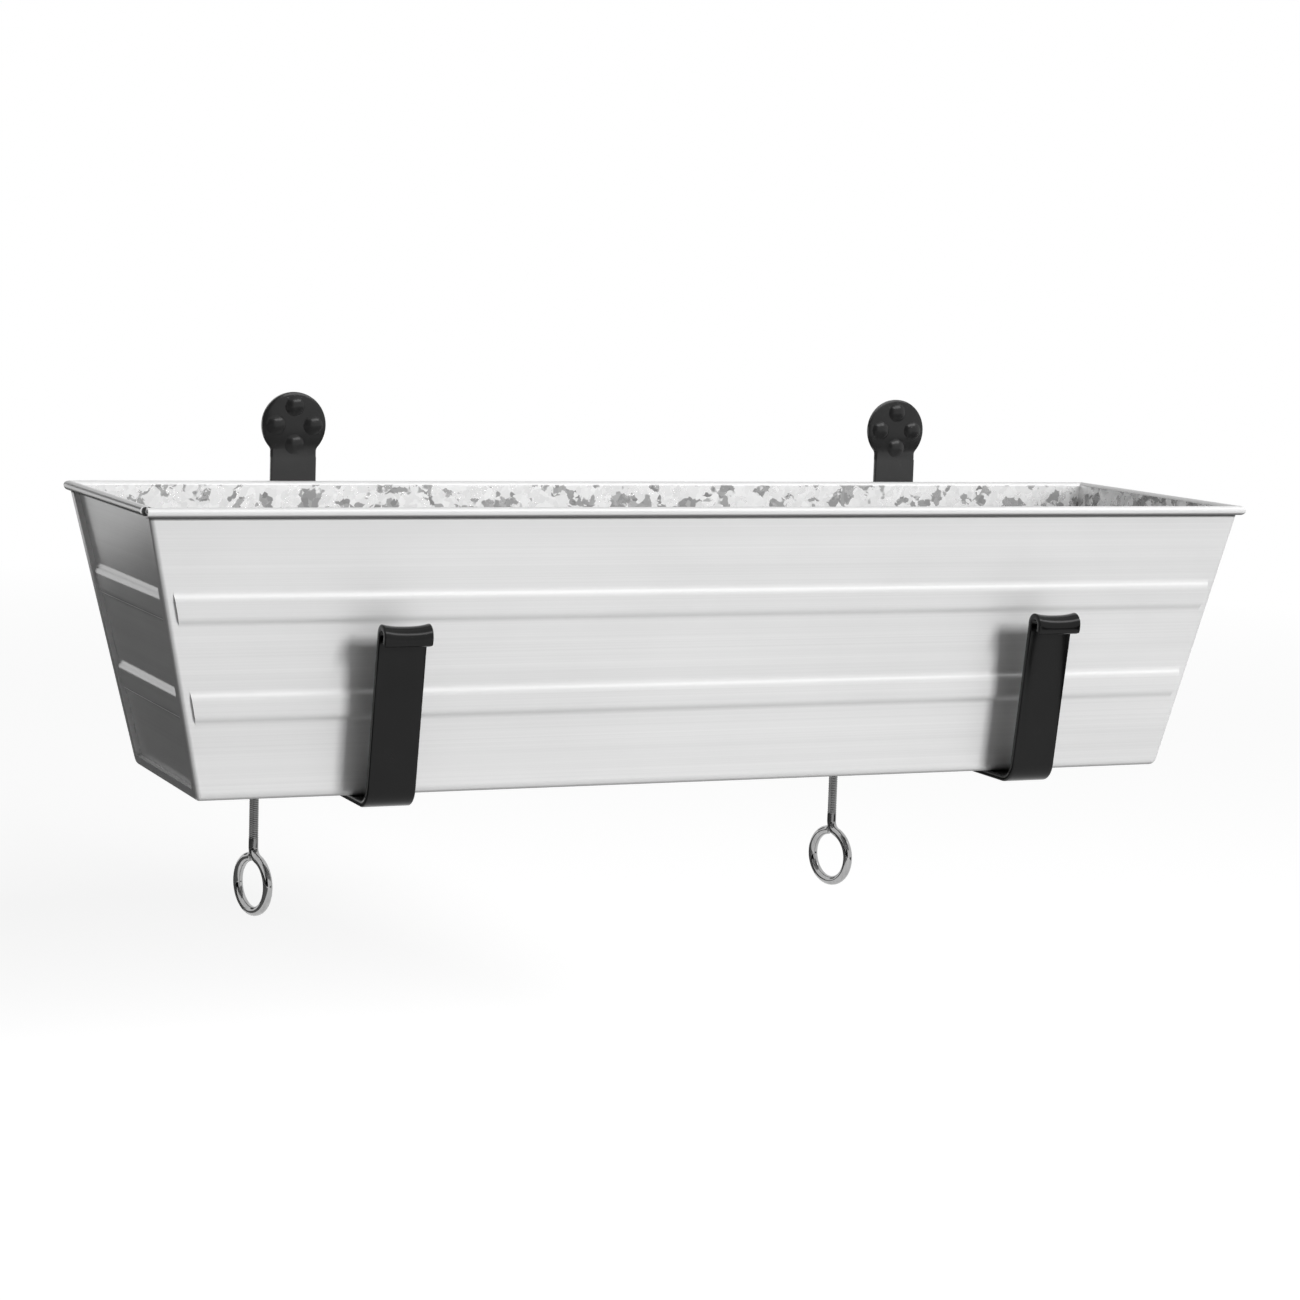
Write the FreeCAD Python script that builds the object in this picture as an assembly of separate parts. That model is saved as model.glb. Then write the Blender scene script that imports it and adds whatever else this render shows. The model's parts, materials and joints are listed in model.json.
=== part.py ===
import FreeCAD, Part
import math
import os
from FreeCAD import Vector

# Window box planter of folded galvanized sheet, hung on a rail by two clamp-on brackets.
# Millimetres. +Z is up, +X runs along the box and +Y points back, towards the rail.
# The origin is the rail seat: on top of the rail, at its outer edge, midway between the clamps.

# Planter box, outside sizes
RIM_LENGTH = 736.6            # over the rolled rim, end to end
RIM_DEPTH = 207.0             # over the rolled rim, front to back
RIM_HEIGHT = 175.6            # from the bottom to the top of the rolled rim
BOTTOM_LENGTH = 656.6
BOTTOM_DEPTH = 146.2
SHEET = 0.8
BOTTOM_BEND = 6.0             # outer radius of the two long bottom bends
ROLL_RADIUS = 3.0             # outer radius of the rolled rim
ROLL_SWEEP = 285.0            # how far the rim is rolled, in degrees
WIRE_DIAMETER = 4.2           # reinforcing wire inside the rolled rim

# Horizontal stiffening ribs pressed outwards in all four walls
RIB_HEIGHTS = (57.0, 116.0)   # centre heights above the bottom
RIB_WIDTH = 22.0
RIB_FLANK = 6.5               # width of each curved flank
RIB_PROUD = 2.0

# Folded seams that clasp the end panels
SEAM_WIDTH = 9.0              # on the two upright edges
SEAM_FOOT = 6.5               # along the bottom edge
SEAM_PROUD = 3.2              # how far the seam stands out of the end panel
SEAM_RADIUS = 3.0             # rounding of the seam's outer edges, less than it stands proud
RIB_TO_SEAM = 3.0             # a rib stops this far from a seam's fold or edge

# Rim joint at the front left corner, measured from the corner of the rim's centre line
JOINT_FRONT = 5.0
JOINT_END = 14.0
WIRE_SETBACK = 3.0            # the wire's ends stop this far inside the rolled rim

# Drain holes in the bottom
DRAIN_DIAMETER = 9.5
DRAIN_COUNT = 4
DRAIN_PITCH = 120.0

# Bracket: a flat bar bent into an open cradle, with a round head at the back
BRACKET_SPACING = 436.0
STRAP_WIDTH = 30.0
STRAP = 4.0
STRAP_BEND = 14.0             # outer radius of the two bottom bends
HEAD_RADIUS = 21.2
HEAD_HEIGHT = 211.0           # centre of the head above the shelf
HEAD_BEVEL = 2.2
HEAD_BEVEL_DEPTH = 1.1
NECK_RADIUS = 4.0             # fillets where the head runs into the bar
DOME_COUNT = 4
DOME_DIAMETER = 12.0
DOME_PROUD = 2.2
DOME_CIRCLE = 12.3            # domes' distance from the head's centre
FRONT_LEG_HEIGHT = 107.5      # top of the curl above the shelf
FRONT_LEG_LEAN = 9.0          # degrees
CURL_RADIUS = 7.5             # outer radius of the curl
CURL_SWEEP = 205.0
REAR_CLEARANCE = 3.0          # from the rolled rim to the bar behind it
FRONT_CLEARANCE = 22.5        # from the front wall's foot to the front leg

# Clamp: a flat bar bent into a C behind the cradle
YOKE_WIDTH = 24.0
YOKE = 5.0
YOKE_BEND = 3.0               # inner radius
YOKE_CORNER = 5.0             # rounded corners of the two arms
JAW_DEPTH = 150.0             # between the two arms
ARM_REACH = 88.0              # from the rail's edge to the arms' ends
WELD_RADIUS = 2.6
WELD_LENGTH = 25.0
WELD_CENTRES = (-30.0, -120.0)

# Eye screw that tightens the clamp from below
SCREW_DIAMETER = 6.5
SCREW_REACH = 66.8            # from the rail's edge to the screw's axis
SCREW_HOLE = 7.2              # clearance hole in the lower arm
NUT_FLATS = 11.1
NUT_HEIGHT = 5.5
NUT_RUNNING = 0.05            # radial running clearance of the thread's crest
EYE_RADIUS = 21.9             # outer radius of the eye
EYE_DROP = 98.6               # eye's centre below the lower arm
EYE_NECK = 8.0                # radius of the bend between shank and eye
EYE_GAP = 0.6                 # between the rod's end and the neck
EYE_TURN = -74.0              # direction of the eye's plane about the screw's axis, in degrees
BAR_STEP = 26.0               # most that the bent rod turns from one section to the next, in degrees
JAW_OPENING = 111.0           # from the shoe to the upper arm, as photographed
SHOE_DIAMETER = 22.0
SHOE_HEIGHT = 5.0
STUD_DIAMETER = 4.5           # turned end of the screw, held in the shoe
STUD_LENGTH = 3.5
STUD_RUNNING = 0.05
STUD_SEAT = 0.1               # end clearance of the screw in the shoe

FAR = 2.0 * RIM_LENGTH        # reach of cutting solids

# Worked out from the sizes above
BASE_Z = -JAW_DEPTH                                     # the planter's bottom and the shelf's top
PLANTER_Y = -(YOKE + STRAP + REAR_CLEARANCE + RIM_DEPTH / 2)
HALF = SHEET / 2
ROLL_MIDDLE = ROLL_RADIUS - HALF
ROLL_BORE = ROLL_RADIUS - SHEET
RIM_Z = RIM_HEIGHT - ROLL_RADIUS                        # height of the rim's centre line
RIM_X = RIM_LENGTH / 2 - ROLL_RADIUS                    # half length of the rim's centre line
RIM_Y = RIM_DEPTH / 2 - ROLL_RADIUS                     # half depth of the rim's centre line
SEAM_TOP = RIM_Z - ROLL_RADIUS - HALF


def lean_of(foot, rim):
    """Lean from upright, in radians, of a wall whose outer face starts at foot on the bottom
    plane and runs tangent to the bore of the rolled rim, whose centre line is at rim."""
    reach = math.hypot(rim - foot, RIM_Z)
    return math.atan2(rim - foot, RIM_Z) - math.asin(ROLL_BORE / reach)


LEAN_SIDE = lean_of(BOTTOM_DEPTH / 2, RIM_Y)
END_FOOT = BOTTOM_LENGTH / 2
for _ in range(5):
    LEAN_END = lean_of(END_FOOT, RIM_X)
    END_FOOT = BOTTOM_LENGTH / 2 - SEAM_PROUD / math.cos(LEAN_END)


def across(x):
    """Maps (distance from the middle, height) to a plane across the box."""
    return lambda u, v: Vector(x, u, v)


def along(y):
    """Maps (distance from the middle, height) to a plane along the box."""
    return lambda u, v: Vector(u, y, v)


def beside(place, start, heading, moves, offset):
    """Edges of a line that keeps offset to the left of a path of straight runs and arcs,
    and the line's two ends. Left turns are positive."""
    u, v = start
    angle = math.radians(heading)
    edges = []
    ends = []
    for move in moves:
        left = (-math.sin(angle), math.cos(angle))
        first = (u + offset * left[0], v + offset * left[1])
        if move[0] == "line":
            u += move[1] * math.cos(angle)
            v += move[1] * math.sin(angle)
            last = (u + offset * left[0], v + offset * left[1])
            edges.append(Part.LineSegment(place(*first), place(*last)).toShape())
        else:
            radius = move[1]
            turn = math.radians(move[2])
            side = math.copysign(1.0, turn)
            centre = (u + side * radius * left[0], v + side * radius * left[1])
            own = radius - side * offset
            begin = angle - side * math.pi / 2
            points = []
            for share in (0.0, 0.5, 1.0):
                at = begin + share * turn
                points.append((centre[0] + own * math.cos(at), centre[1] + own * math.sin(at)))
            edges.append(Part.Arc(*[place(*p) for p in points]).toShape())
            last = points[2]
            u = centre[0] + radius * math.cos(begin + turn)
            v = centre[1] + radius * math.sin(begin + turn)
            angle += turn
        ends = [ends[0] if ends else first, last]
    return edges, ends


def face_between(place, one, other):
    """Face between two lines given as (edges, ends), closed by a straight edge at each end."""
    caps = [Part.LineSegment(place(*a), place(*b)).toShape() for a, b in zip(one[1], other[1])]
    return Part.Face(Part.Wire(Part.__sortEdges__(one[0] + other[0] + caps)))


def strip(place, start, heading, moves, thickness):
    """Section of a bent sheet or bar, half its thickness to each side of the path."""
    left = beside(place, start, heading, moves, thickness / 2)
    right = beside(place, start, heading, moves, -thickness / 2)
    return face_between(place, left, right)


def round_bar(place, start, heading, moves, radius):
    """Round bar whose middle line follows the path, ruled through circles with a steady X axis."""
    normal = place(1, 0).sub(place(0, 0)).cross(place(0, 1).sub(place(0, 0)))
    sections = []
    for edge, move in zip(beside(place, start, heading, moves, 0)[0], moves):
        steps = math.ceil(abs(move[2]) / BAR_STEP) if move[0] == "arc" else 1
        for i in range(1 if sections else 0, steps + 1):
            at = edge.FirstParameter + (edge.LastParameter - edge.FirstParameter) * i / steps
            middle = edge.valueAt(at)
            out = normal * radius
            side = normal.cross(edge.tangentAt(at)) * radius
            sections.append(Part.Wire(Part.Circle(middle + out, middle + side, middle - out).toShape()))
    return Part.makeLoft(sections, True, True)


def spread(face, direction):
    """Extrudes a face equally to both sides by direction."""
    return face.translated(-direction).extrude(direction * 2)


def mirrored(shape, normal):
    return shape.mirror(Vector(0, 0, 0), normal)


# The planter box. Its own frame has its middle at x = y = 0 and its bottom at z = 0.

def taper(place, foot, lean, inset, low, top, direction):
    """Prism between two opposite leaning planes, each moved in by inset."""
    half_low = foot + low * math.tan(lean) - inset / math.cos(lean)
    half_top = foot + top * math.tan(lean) - inset / math.cos(lean)
    points = [(-half_low, low), (half_low, low), (half_top, top), (-half_top, top)]
    corners = [place(*p) for p in points + points[:1]]
    return spread(Part.Face(Part.makePolygon(corners)), direction)


def trough(side_inset, low, end_inset, top):
    """Solid inside the box's plain walls, each moved in by an inset, from one height to another."""
    sides = taper(across(0), BOTTOM_DEPTH / 2, LEAN_SIDE, side_inset, low, top, Vector(FAR, 0, 0))
    ends = taper(along(0), END_FOOT, LEAN_END, end_inset, low, top, Vector(0, FAR, 0))
    return sides.common(ends)


def rounded_foot(form, radius):
    """Rounds the two long bottom edges of a trough."""
    low = [e for e in form.Edges if e.BoundBox.ZMax < BOTTOM_BEND]
    bends = [e for e in low if e.BoundBox.XLength > BOTTOM_LENGTH / 2]
    return form.makeFillet(radius, bends)


def on_wall(foot, lean, s):
    """Point of a wall's middle line, s up its outer face from the bottom plane."""
    return foot - HALF * math.cos(lean) + s * math.sin(lean), HALF * math.sin(lean) + s * math.cos(lean)


def wall_run(foot, rim, lean):
    """Length of a wall's outer face from the bottom plane to the start of the rolled rim."""
    return (rim - foot) * math.sin(lean) + RIM_Z * math.cos(lean)


def roll(place, foot, rim, lean, axis, reach):
    """Rolled rim on one wall, along axis, with both ends mitred at the rim's corners."""
    start = on_wall(foot, lean, wall_run(foot, rim, lean))
    section = strip(place, start, 90 - math.degrees(lean), [("arc", ROLL_MIDDLE, -ROLL_SWEEP)], SHEET)
    bar = spread(section, axis * (reach + 2 * ROLL_RADIUS))
    over = 3 * ROLL_RADIUS
    points = [(rim - over, -(reach - over)), (rim + over, -(reach + over)),
              (rim + over, reach + over), (rim - over, reach - over)]
    corners = [Vector(v, u, 0) if axis.x else Vector(u, v, 0) for u, v in points + points[:1]]
    mitre = Part.Face(Part.makePolygon(corners)).extrude(Vector(0, 0, 2 * RIM_HEIGHT))
    return bar.common(mitre)


def joint_gap():
    """Space cut out of the rolled rim where its ends meet, at the front left corner."""
    over = 2 * ROLL_RADIUS
    low = Vector(-RIM_X - over, -RIM_Y - over, RIM_Z - over)
    block = Part.makeBox(over + JOINT_FRONT, over + JOINT_END, 2 * over, low)
    return block.cut(trough(0, 0, 0, RIM_HEIGHT + over))


def with_ribs(wall, place, foot, lean, direction, clip, hollow_clip):
    """Presses the ribs outwards in one wall. Clips give where their outsides and hollows end."""
    flank_turn = 2 * math.atan2(RIB_PROUD, RIB_FLANK)
    radius = RIB_FLANK / 2 / math.sin(flank_turn)
    turn = math.degrees(flank_turn)
    crest = RIB_WIDTH - 2 * RIB_FLANK
    moves = [("arc", radius, -turn), ("arc", radius, turn), ("line", crest),
             ("arc", radius, turn), ("arc", radius, -turn)]
    heading = 90 - math.degrees(lean)
    for height in RIB_HEIGHTS:
        start = on_wall(foot, lean, height / math.cos(lean) - RIB_WIDTH / 2)
        for skin, base, limit in ((-HALF, 0.0, clip), (HALF, SHEET, hollow_clip)):
            line = beside(place, start, heading, moves, skin)
            chord = beside(place, start, heading, [("line", RIB_WIDTH)], base)
            form = spread(face_between(place, line, chord), direction).common(limit)
            wall = wall.fuse(form) if skin < 0 else wall.cut(form)
    return wall


def long_wall():
    """One long wall and its half of the bottom, up to the start of the rolled rim."""
    foot = BOTTOM_DEPTH / 2
    corner_s = HALF * (1 - math.sin(LEAN_SIDE)) / math.cos(LEAN_SIDE)
    corner = foot - HALF * math.cos(LEAN_SIDE) + corner_s * math.sin(LEAN_SIDE)
    turn = 90 - math.degrees(LEAN_SIDE)
    radius = BOTTOM_BEND - HALF
    tangent = radius * math.tan(math.radians(turn) / 2)
    rise = wall_run(foot, RIM_Y, LEAN_SIDE) - corner_s - tangent
    moves = [("line", corner - tangent), ("arc", radius, turn), ("line", rise)]
    return spread(strip(across(0), (0, HALF), 0, moves, SHEET), Vector(FAR, 0, 0))


def seam_form():
    """Outer form of the sheet and the seams folded round its ends, up to just below the rim."""
    form = rounded_foot(trough(0, 0, -SEAM_PROUD, SEAM_TOP), BOTTOM_BEND)
    edges = []
    for face in form.Faces:
        if abs(face.normalAt(0, 0).x) > 0.9:
            edges += [e for e in face.Edges if e.BoundBox.ZMin < SEAM_TOP - SHEET]
    return form.makeFillet(SEAM_RADIUS, edges)


def planter_body():
    wide = RIB_PROUD + SEAM_PROUD
    wall = long_wall()
    lower = wall.common(trough(-SHEET, -SHEET, 0, SEAM_TOP))
    upper = wall.common(trough(-SHEET, SEAM_TOP, SHEET, RIM_HEIGHT))
    wall = lower.fuse(upper)
    wall = with_ribs(wall, across(0), BOTTOM_DEPTH / 2, LEAN_SIDE, Vector(FAR, 0, 0),
                     trough(-wide, 0, RIB_TO_SEAM, RIM_Z), trough(-wide, 0, RIB_TO_SEAM + SHEET, RIM_Z))
    rim = roll(across(0), BOTTOM_DEPTH / 2, RIM_Y, LEAN_SIDE, Vector(1, 0, 0), RIM_X)
    opening = taper(across(0), BOTTOM_DEPTH / 2, LEAN_SIDE, SEAM_WIDTH, SEAM_FOOT, RIM_HEIGHT,
                    Vector(FAR, 0, 0))
    seams = seam_form().cut(trough(-wide, -wide, 0, RIM_HEIGHT)).cut(opening)
    across_y = Vector(0, 1, 0)
    body = wall.fuse([mirrored(wall, across_y), rim, mirrored(rim, across_y).cut(joint_gap()), seams])
    for i in range(DRAIN_COUNT):
        x = (i - (DRAIN_COUNT - 1) / 2) * DRAIN_PITCH
        body = body.cut(Part.makeCylinder(DRAIN_DIAMETER / 2, 3 * SHEET, Vector(x, 0, -SHEET)))
    return body.removeSplitter()


def end_panel():
    """Right end panel: flat sheet with ribs and its own rolled rim, held inside the seams."""
    wide = RIB_PROUD + SEAM_PROUD
    start = on_wall(END_FOOT, LEAN_END, 0)
    heading = 90 - math.degrees(LEAN_END)
    run = wall_run(END_FOOT, RIM_X, LEAN_END)
    wall = spread(strip(along(0), start, heading, [("line", run)], SHEET), Vector(0, FAR, 0))
    inset = SEAM_WIDTH + RIB_TO_SEAM
    wall = with_ribs(wall, along(0), END_FOOT, LEAN_END, Vector(0, FAR, 0),
                     trough(inset, 0, -wide, RIM_Z), trough(inset + SHEET, 0, -wide, RIM_Z))
    wall = wall.common(rounded_foot(trough(SHEET, SHEET, -wide, 2 * RIM_HEIGHT), BOTTOM_BEND - SHEET))
    return wall.fuse(roll(along(0), END_FOOT, RIM_X, LEAN_END, Vector(0, 1, 0), RIM_Y)).removeSplitter()


def rim_wire():
    """One wire round the rim, square at the corners, with its two ends at the rim's joint."""
    front_end = Vector(-RIM_X + JOINT_FRONT + WIRE_SETBACK, -RIM_Y, RIM_Z)
    side_end = Vector(-RIM_X, -RIM_Y + JOINT_END + WIRE_SETBACK, RIM_Z)
    corners = [Vector(RIM_X, -RIM_Y, RIM_Z), Vector(RIM_X, RIM_Y, RIM_Z), Vector(-RIM_X, RIM_Y, RIM_Z)]
    points = [front_end] + corners + [side_end]
    profile = Part.Wire(Part.makeCircle(WIRE_DIAMETER / 2, points[0], Vector(1, 0, 0)))
    return Part.makePolygon(points).makePipeShell([profile], True, False, 1)


# One bracket with its clamp. Its frame is the row's, with the bracket's middle at x = 0.

def strap_head():
    """Round head with four domes on its front, filleted into the top of the rear leg."""
    front = -YOKE - STRAP
    z = BASE_Z + HEAD_HEIGHT
    half = STRAP_WIDTH / 2
    reach = HEAD_RADIUS + NECK_RADIUS
    drop = math.sqrt(reach ** 2 - (half + NECK_RADIUS) ** 2)
    toe = math.atan2(drop, half + NECK_RADIUS)
    low = z - drop - NECK_RADIUS

    def on_head(angle, side):
        return Vector(side * HEAD_RADIUS * math.cos(angle), front, z + HEAD_RADIUS * math.sin(angle))

    def on_neck(angle, side):
        x = half + NECK_RADIUS - NECK_RADIUS * math.cos(angle)
        return Vector(side * x, front, z - drop + NECK_RADIUS * math.sin(angle))

    edges = [Part.Arc(on_head(-toe, 1), Vector(0, front, z + HEAD_RADIUS), on_head(-toe, -1)).toShape()]
    for side in (-1, 1):
        edges.append(Part.Arc(on_neck(toe, side), on_neck(toe / 2, side), on_neck(0, side)).toShape())
        edges.append(Part.LineSegment(on_neck(0, side), Vector(side * half, front, low)).toShape())
    edges.append(Part.LineSegment(Vector(-half, front, low), Vector(half, front, low)).toShape())
    head = Part.Face(Part.Wire(Part.__sortEdges__(edges))).extrude(Vector(0, STRAP, 0))

    centre = Vector(0, front, z)
    back = Vector(0, 1, 0)
    flat = HEAD_RADIUS - HEAD_BEVEL
    waste = Part.makeCylinder(2 * HEAD_RADIUS, HEAD_BEVEL_DEPTH, centre, back)
    waste = waste.cut(Part.makeCone(flat, HEAD_RADIUS, HEAD_BEVEL_DEPTH, centre, back))
    leg_low = Vector(-half, front - STRAP, z - 2 * HEAD_RADIUS)
    leg = Part.makeBox(STRAP_WIDTH, 2 * STRAP, 2 * HEAD_RADIUS, leg_low)
    head = head.cut(waste.cut(leg))

    ball = (DOME_DIAMETER ** 2 / 4 + DOME_PROUD ** 2) / (2 * DOME_PROUD)
    for i in range(DOME_COUNT):
        angle = 2 * math.pi * i / DOME_COUNT
        at = centre + Vector(DOME_CIRCLE * math.cos(angle), 0, DOME_CIRCLE * math.sin(angle))
        dome = Part.makeSphere(ball, at + back * (ball - DOME_PROUD))
        slab = Part.makeCylinder(DOME_DIAMETER, DOME_PROUD + STRAP / 2, at - back * DOME_PROUD, back)
        head = head.fuse(dome.common(slab))
    return head, low


def cradle_strap():
    """Rear leg, shelf, leaning front leg and curl, bent from one bar with a round head."""
    head, low = strap_head()
    rear = -YOKE - STRAP / 2
    shelf = BASE_Z - STRAP / 2
    bend = STRAP_BEND - STRAP / 2
    lean = math.radians(FRONT_LEG_LEAN)
    inner = PLANTER_Y - BOTTOM_DEPTH / 2 - FRONT_CLEARANCE
    corner = inner - STRAP / 2 / math.cos(lean) + STRAP / 2 * math.tan(lean)
    tangent = bend * math.tan((math.pi / 2 - lean) / 2)
    curl = CURL_RADIUS - STRAP / 2
    leg_top = BASE_Z + FRONT_LEG_HEIGHT - CURL_RADIUS + curl * math.sin(lean)
    moves = [("line", low - shelf - bend),
             ("arc", bend, -90),
             ("line", rear - bend - corner - tangent),
             ("arc", bend, FRONT_LEG_LEAN - 90),
             ("line", (leg_top - shelf) / math.cos(lean) - tangent),
             ("arc", curl, CURL_SWEEP)]
    section = strip(across(0), (rear, low), -90, moves, STRAP)
    return spread(section, Vector(STRAP_WIDTH / 2, 0, 0)).fuse(head).removeSplitter()


def clamp_yoke():
    """Upper arm, spine and lower arm of one bar, with a clearance hole for the screw."""
    bend = YOKE_BEND + YOKE / 2
    arm = ARM_REACH + YOKE / 2 - bend
    spine = JAW_DEPTH + YOKE - 2 * bend
    moves = [("line", arm), ("arc", bend, 90), ("line", spine), ("arc", bend, 90), ("line", arm)]
    yoke = spread(strip(across(0), (ARM_REACH, YOKE / 2), 180, moves, YOKE), Vector(YOKE_WIDTH / 2, 0, 0))
    ends = [e for e in yoke.Edges if e.BoundBox.YMin > ARM_REACH - YOKE / 2]
    corners = [e for e in ends if e.BoundBox.XLength < YOKE / 2 < e.BoundBox.ZLength]
    yoke = yoke.makeFillet(YOKE_CORNER, corners)
    under = Vector(0, SCREW_REACH, -JAW_DEPTH - 2 * YOKE)
    return yoke.cut(Part.makeCylinder(SCREW_HOLE / 2, 3 * YOKE, under))


def yoke_welds():
    """Four weld beads that join the spine's sides to the back of the cradle strap."""
    beads = []
    for side in (-1, 1):
        for height in WELD_CENTRES:
            low = Vector(side * YOKE_WIDTH / 2, -YOKE, height - WELD_LENGTH / 2)
            bead = Part.makeCylinder(WELD_RADIUS, WELD_LENGTH, low)
            size = 2 * WELD_RADIUS
            corner = Vector(low.x if side > 0 else low.x - size, low.y, low.z)
            beads.append(bead.common(Part.makeBox(size, size, WELD_LENGTH, corner)))
    return Part.makeCompound(beads)


def jaw_nut():
    """Hexagon nut welded on the lower arm."""
    points = []
    for i in range(7):
        angle = math.radians(60 * i)
        corner = NUT_FLATS / math.sqrt(3)
        points.append(Vector(corner * math.cos(angle), SCREW_REACH + corner * math.sin(angle), -JAW_DEPTH))
    nut = Part.Face(Part.makePolygon(points)).extrude(Vector(0, 0, NUT_HEIGHT))
    bore = SCREW_DIAMETER / 2 + NUT_RUNNING
    return nut.cut(Part.makeCylinder(bore, 3 * NUT_HEIGHT, Vector(0, SCREW_REACH, -JAW_DEPTH - NUT_HEIGHT)))


def eye_screw():
    """Screw whose lower end is bent into a closed eye and whose tip is turned down for the shoe."""
    eye = EYE_RADIUS - SCREW_DIAMETER / 2
    centre = -JAW_DEPTH - YOKE - EYE_DROP
    neck = math.sqrt(eye ** 2 + 2 * EYE_NECK * eye)
    turn = math.degrees(math.acos(EYE_NECK / (EYE_NECK + eye)))
    shoulder = -JAW_OPENING - SHOE_HEIGHT - STUD_SEAT
    close = math.degrees(2 * math.asin((SCREW_DIAMETER + EYE_GAP) / (2 * eye)))
    way = math.radians(EYE_TURN)

    def place(u, v):
        return Vector(u * math.cos(way), SCREW_REACH + u * math.sin(way), v)

    moves = [("line", shoulder - centre - neck), ("arc", EYE_NECK, turn), ("arc", eye, close - 360)]
    rod = round_bar(place, (0, shoulder), -90, moves, SCREW_DIAMETER / 2)
    stud = Part.makeCylinder(STUD_DIAMETER / 2, STUD_LENGTH, Vector(0, SCREW_REACH, shoulder))
    return rod.fuse(stud)


def swivel_shoe():
    """Round shoe on the screw's tip, with a blind hole in its underside."""
    low = -JAW_OPENING - SHOE_HEIGHT
    shoe = Part.makeCylinder(SHOE_DIAMETER / 2, SHOE_HEIGHT, Vector(0, SCREW_REACH, low))
    bore = STUD_DIAMETER / 2 + STUD_RUNNING
    depth = STUD_LENGTH + SHOE_HEIGHT
    return shoe.cut(Part.makeCylinder(bore, depth, Vector(0, SCREW_REACH, low - SHOE_HEIGHT)))


def save(name, shape, shift):
    moved = shape.translated(shift)
    moved.exportStep("parts/" + name + ".step")
    state = "valid" if moved.isValid() else "NOT VALID"
    print(name, len(moved.Solids), "solids", round(moved.Volume), "mm3", state)


os.makedirs("parts", exist_ok=True)
planter_place = Vector(0, PLANTER_Y, BASE_Z)
right_end = end_panel()
left_end = mirrored(right_end, Vector(1, 0, 0)).cut(joint_gap())
save("planter_body", planter_body(), planter_place)
save("end_panel_left", left_end, planter_place)
save("end_panel_right", right_end, planter_place)
save("rim_wire", rim_wire(), planter_place)

bracket = {"cradle_strap": cradle_strap(), "clamp_yoke": clamp_yoke(), "yoke_welds": yoke_welds(),
           "jaw_nut": jaw_nut(), "eye_screw": eye_screw(), "swivel_shoe": swivel_shoe()}
for side_name, side_x in (("left", -BRACKET_SPACING / 2), ("right", BRACKET_SPACING / 2)):
    for piece_name, piece in bracket.items():
        save(side_name + "_" + piece_name, piece, Vector(side_x, 0, 0))
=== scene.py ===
import json
import math

import bmesh
import bpy
from mathutils import Matrix, Vector


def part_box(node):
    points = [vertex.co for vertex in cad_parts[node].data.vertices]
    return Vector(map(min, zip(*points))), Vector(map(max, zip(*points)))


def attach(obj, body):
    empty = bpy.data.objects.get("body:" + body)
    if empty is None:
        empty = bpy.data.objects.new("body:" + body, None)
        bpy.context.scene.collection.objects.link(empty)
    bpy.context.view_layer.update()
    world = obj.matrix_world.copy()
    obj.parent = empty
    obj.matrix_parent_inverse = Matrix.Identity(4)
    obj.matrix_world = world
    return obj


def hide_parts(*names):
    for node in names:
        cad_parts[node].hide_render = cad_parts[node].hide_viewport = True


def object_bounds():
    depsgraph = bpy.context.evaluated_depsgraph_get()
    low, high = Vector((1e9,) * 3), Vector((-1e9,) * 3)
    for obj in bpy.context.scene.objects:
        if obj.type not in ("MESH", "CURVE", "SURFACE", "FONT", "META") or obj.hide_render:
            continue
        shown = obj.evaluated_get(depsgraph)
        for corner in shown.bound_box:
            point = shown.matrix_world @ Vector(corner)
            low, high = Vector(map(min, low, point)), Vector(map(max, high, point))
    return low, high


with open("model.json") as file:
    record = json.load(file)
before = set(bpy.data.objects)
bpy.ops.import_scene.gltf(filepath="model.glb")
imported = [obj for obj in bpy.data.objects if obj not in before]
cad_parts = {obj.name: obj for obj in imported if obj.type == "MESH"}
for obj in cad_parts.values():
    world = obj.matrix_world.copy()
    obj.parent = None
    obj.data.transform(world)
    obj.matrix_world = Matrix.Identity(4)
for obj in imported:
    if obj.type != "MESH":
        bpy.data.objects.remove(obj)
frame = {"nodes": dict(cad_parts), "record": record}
cad_low, cad_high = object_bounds()
NODES = frame["nodes"]
MM = 0.001


# ---------------------------------------------------------------- places and sizes, in metres

BODY_LOW, BODY_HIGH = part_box("planter_body")
BOX_CENTRE = (BODY_LOW + BODY_HIGH) / 2
RIM_TOP = BODY_HIGH.z
RIM_ROLL = 6.0 * MM           # height of the rolled rim
ROLL_RADIUS = 3.0 * MM
ROLL_START = -8.0             # degrees from level where the roll leaves the wall
ROLL_SWEEP = 285.0
SHEET = 0.8 * MM
JOINT_LENGTH = 8.6 * MM       # from the rim's outer corner to where the CAD's front roll starts
JOINT_SETBACK = 0.3 * MM      # from that corner to the roll's open end
END_INNER = 325.0 * MM        # from the middle to between the faces of an end panel, at the bottom
END_SLOPE = math.tan(math.radians(12.4))

SIDE_X = {}
for side in ("left", "right"):
    strap_low, strap_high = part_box(side + "_cradle_strap")
    SIDE_X[side] = (strap_low.x + strap_high.x) / 2
STRAP_BACK = strap_high.y
HEAD_TOP = strap_high.z
SHELF_UNDER = strap_low.z

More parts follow.
